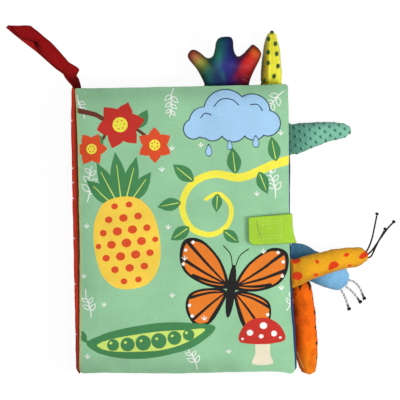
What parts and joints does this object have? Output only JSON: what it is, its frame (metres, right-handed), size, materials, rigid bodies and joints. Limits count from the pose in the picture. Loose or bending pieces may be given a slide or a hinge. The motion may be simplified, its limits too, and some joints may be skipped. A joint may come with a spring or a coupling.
{
  "type": "crinkle cloth book",
  "caption": "Closed cloth book with padded crinkle leaves, cloth spine, fold-over closing tab, ribbon loop and stuffed tails along its edges.",
  "frame": {"origin": "middle of the back cover's outer face, which the closed book rests on", "axes": "+X across the page away from the spine, +Y towards the head of the page, +Z out of the front cover"},
  "size_m": [0.2995, 0.2726, 0.0388],
  "materials": {
    "mint_cloth": "matt printed polyester",
    "cream_cloth": "matt printed polyester",
    "sky_cloth": "matt printed polyester",
    "navy_cloth": "matt printed polyester",
    "crinkle_film": "thin crackling film",
    "white_wadding": "soft wadding",
    "red_spine_cloth": "matt printed polyester",
    "lime_patch": "hook and loop",
    "lime_tab": "matt cloth",
    "red_ribbon": "satin ribbon",
    "rainbow_satin": "satin",
    "yellow_satin": "satin",
    "green_dot_plush": "raised dot plush",
    "amber_cloth": "soft short pile",
    "blue_cloth": "soft short pile",
    "orange_cloth": "soft short pile",
    "black_string": "waxed string",
    "grey_twist": "twisted two-colour string"
  },
  "bodies": {
    "back_cover": {"back_cover_front_panel": "mint_cloth", "back_cover_back_panel": "mint_cloth", "back_cover_crinkle_film": "crinkle_film", "back_cover_wadding": "white_wadding", "back_cover_spine": "red_spine_cloth"},
    "leaf_3": {"leaf_3_front_panel": "cream_cloth", "leaf_3_back_panel": "cream_cloth", "leaf_3_crinkle_film": "crinkle_film", "leaf_3_wadding": "white_wadding", "leaf_3_spine": "red_spine_cloth"},
    "leaf_2": {"leaf_2_front_panel": "sky_cloth", "leaf_2_back_panel": "sky_cloth", "leaf_2_crinkle_film": "crinkle_film", "leaf_2_wadding": "white_wadding", "leaf_2_spine": "red_spine_cloth"},
    "leaf_1": {"leaf_1_front_panel": "navy_cloth", "leaf_1_back_panel": "navy_cloth", "leaf_1_crinkle_film": "crinkle_film", "leaf_1_wadding": "white_wadding", "leaf_1_spine": "red_spine_cloth"},
    "front_cover": {"front_cover_front_panel": "mint_cloth", "front_cover_back_panel": "mint_cloth", "front_cover_crinkle_film": "crinkle_film", "front_cover_wadding": "white_wadding", "front_cover_spine": "red_spine_cloth", "closure_loop_patch": "lime_patch"},
    "closure_tab": {"closure_tab_riser": "lime_tab"},
    "closure_flap": {"closure_tab_flap": "lime_tab", "closure_hook_patch": "lime_patch"},
    "ribbon_loop": {"ribbon_loop": "red_ribbon"},
    "rainbow_tail": {"rainbow_tail": "rainbow_satin"},
    "speckled_tail": {"speckled_tail": "yellow_satin"},
    "dotted_tail": {"dotted_tail": "green_dot_plush"},
    "spotted_tail": {"spotted_tail": "amber_cloth", "spotted_tail_string_1": "black_string", "spotted_tail_knot_1": "black_string", "spotted_tail_string_2": "black_string", "spotted_tail_knot_2": "black_string", "spotted_tail_string_3": "black_string", "spotted_tail_knot_3": "black_string"},
    "blue_tail": {"blue_tail": "blue_cloth", "blue_tail_strand_1": "grey_twist", "blue_tail_knot_1": "black_string", "blue_tail_strand_2": "grey_twist", "blue_tail_knot_2": "black_string", "blue_tail_strand_3": "grey_twist", "blue_tail_knot_3": "black_string"},
    "striped_tail": {"striped_tail": "orange_cloth"}
  },
  "joints": [
    {"name": "leaf_3_turn", "type": "hinge", "parent": "back_cover", "child": "leaf_3", "pos_m": [-0.08519, 0, 0.007], "axis": [0, -1, 0], "range_deg": [0, 45]},
    {"name": "leaf_2_turn", "type": "hinge", "parent": "leaf_3", "child": "leaf_2", "pos_m": [-0.08582, 0, 0.014], "axis": [0, -1, 0], "range_deg": [0, 45]},
    {"name": "leaf_1_turn", "type": "hinge", "parent": "leaf_2", "child": "leaf_1", "pos_m": [-0.08581, 0, 0.021], "axis": [0, -1, 0], "range_deg": [0, 45]},
    {"name": "front_cover_turn", "type": "hinge", "parent": "leaf_1", "child": "front_cover", "pos_m": [-0.08515, 0, 0.028], "axis": [0, -1, 0], "range_deg": [0, 165]},
    {"name": "closure_tab_peel", "type": "hinge", "parent": "back_cover", "child": "closure_tab", "pos_m": [0.0862, -0.0015, 0.0012], "axis": [0, 1, 0], "range_deg": [0, 90], "deforming": ["closure_tab_riser"]},
    {"name": "closure_flap_unfold", "type": "hinge", "parent": "closure_tab", "child": "closure_flap", "pos_m": [0.0862, -0.0015, 0.03696], "axis": [0, 1, 0], "range_deg": [0, 90], "deforming": ["closure_tab_flap", "closure_hook_patch"]},
    {"name": "ribbon_loop_lift", "type": "hinge", "parent": "back_cover", "child": "ribbon_loop", "pos_m": [-0.0792, 0.1093, 0.00435], "axis": [1, 0, 0], "range_deg": [0, 60]},
    {"name": "rainbow_tail_flap", "type": "hinge", "parent": "leaf_1", "child": "rainbow_tail", "pos_m": [0.035, 0.10998, 0.02435], "axis": [1, 0, 0], "range_deg": [-15, 40], "stiffness_Nm_per_rad": 0.05},
    {"name": "speckled_tail_flap", "type": "hinge", "parent": "leaf_2", "child": "speckled_tail", "pos_m": [0.0692, 0.11034, 0.01735], "axis": [1, 0, 0], "range_deg": [-15, 40], "stiffness_Nm_per_rad": 0.05},
    {"name": "dotted_tail_flap", "type": "hinge", "parent": "leaf_3", "child": "dotted_tail", "pos_m": [0.08712, 0.0667, 0.01035], "axis": [0, -1, 0], "range_deg": [-15, 40], "stiffness_Nm_per_rad": 0.05},
    {"name": "spotted_tail_flap", "type": "hinge", "parent": "front_cover", "child": "spotted_tail", "pos_m": [0.08285, -0.0362, 0.03135], "axis": [0, -1, 0], "range_deg": [0, 40], "stiffness_Nm_per_rad": 0.05},
    {"name": "blue_tail_flap", "type": "hinge", "parent": "leaf_2", "child": "blue_tail", "pos_m": [0.08678, -0.0246, 0.01735], "axis": [0, -1, 0], "range_deg": [-15, 0], "stiffness_Nm_per_rad": 0.05},
    {"name": "striped_tail_swing", "type": "hinge", "parent": "back_cover", "child": "striped_tail", "pos_m": [0.09256, -0.0481, 0.0051], "axis": [0, 0, 1], "range_deg": [0, 40], "stiffness_Nm_per_rad": 0.02}
  ],
  "couplings": [
    {"joint": "closure_flap_unfold", "follows": "closure_tab_peel", "ratio": 1}
  ]
}
